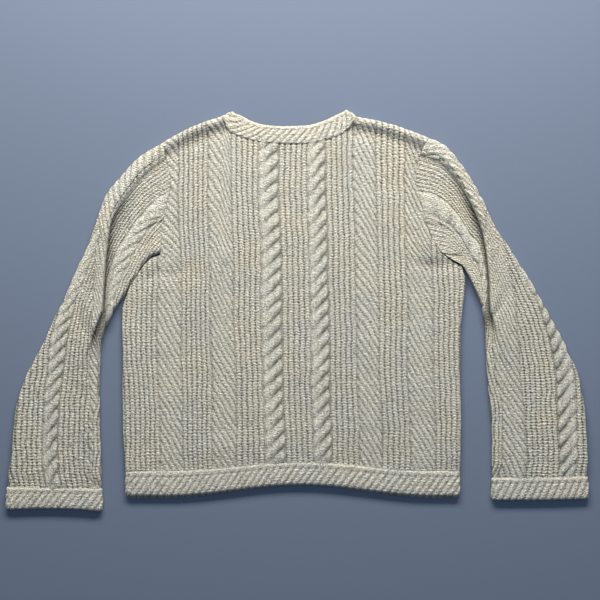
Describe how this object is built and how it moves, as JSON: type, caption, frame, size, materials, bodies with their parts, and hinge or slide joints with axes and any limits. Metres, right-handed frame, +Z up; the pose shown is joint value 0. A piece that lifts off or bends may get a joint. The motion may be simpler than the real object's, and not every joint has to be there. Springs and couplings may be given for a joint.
{
  "type": "cable knit sweater",
  "caption": "Long-sleeved chunky knit pullover laid flat with its back up, ribbed and cabled, with rope-ridged neckband, hem and cuffs.",
  "frame": {"origin": "on the surface the sweater rests on, under the middle of its outline as laid out", "axes": "+X to the right as one looks down on the back, +Y towards the neck, +Z up from the surface"},
  "size_m": [0.8302, 0.5722, 0.0197],
  "materials": {
    "wool_knit": "felted off-white marled wool in half-fisherman rib with cables and diagonal ridges",
    "wool_band": "the same wool in firm slanting rope ridges"
  },
  "bodies": {
    "root": {"back": "wool_knit", "front": "wool_knit", "sleeve_left": "wool_knit", "sleeve_right": "wool_knit", "neckband": "wool_band", "hem_band": "wool_band", "cuff_left": "wool_band", "cuff_right": "wool_band"}
  },
  "joints": []
}
